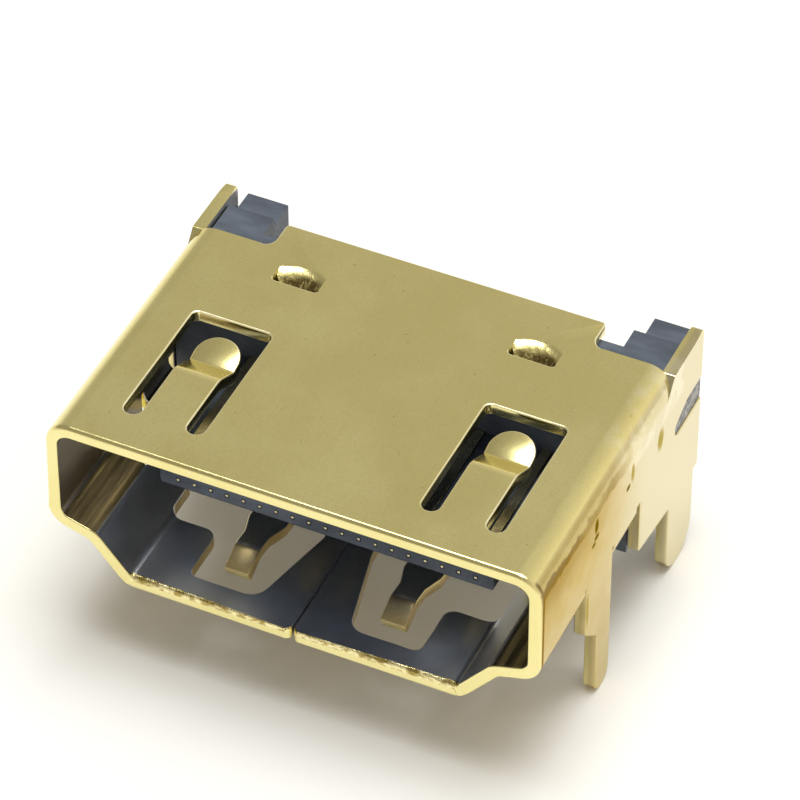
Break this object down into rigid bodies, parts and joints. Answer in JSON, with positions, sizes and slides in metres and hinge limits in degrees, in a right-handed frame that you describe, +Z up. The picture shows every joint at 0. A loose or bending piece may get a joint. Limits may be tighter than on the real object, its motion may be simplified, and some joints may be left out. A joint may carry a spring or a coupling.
{
  "type": "digital video socket",
  "caption": "Folded gold-plated shell with spring fingers and solder legs around a moulded tongue with flat contacts; takes a wide D-shaped video plug and solders to a board.",
  "frame": {"origin": "middle of the four legs, on the board's surface under the insulator", "axes": "+Z up from the board, -Y out of the mouth, +X to the right seen from the mouth"},
  "size_m": [0.0148, 0.0126, 0.008],
  "materials": {
    "plated_sheet": "bright gold plate",
    "black_moulding": "fine matt moulding",
    "contact_plating": "flash gold plate"
  },
  "bodies": {
    "root": {"shell": "plated_sheet", "insulator": "black_moulding", "contact_01": "contact_plating", "contact_02": "contact_plating", "contact_03": "contact_plating", "contact_04": "contact_plating", "contact_05": "contact_plating", "contact_06": "contact_plating", "contact_07": "contact_plating", "contact_08": "contact_plating", "contact_09": "contact_plating", "contact_10": "contact_plating", "contact_11": "contact_plating", "contact_12": "contact_plating", "contact_13": "contact_plating", "contact_14": "contact_plating", "contact_15": "contact_plating", "contact_16": "contact_plating", "contact_17": "contact_plating", "contact_18": "contact_plating", "contact_19": "contact_plating"}
  },
  "joints": []
}
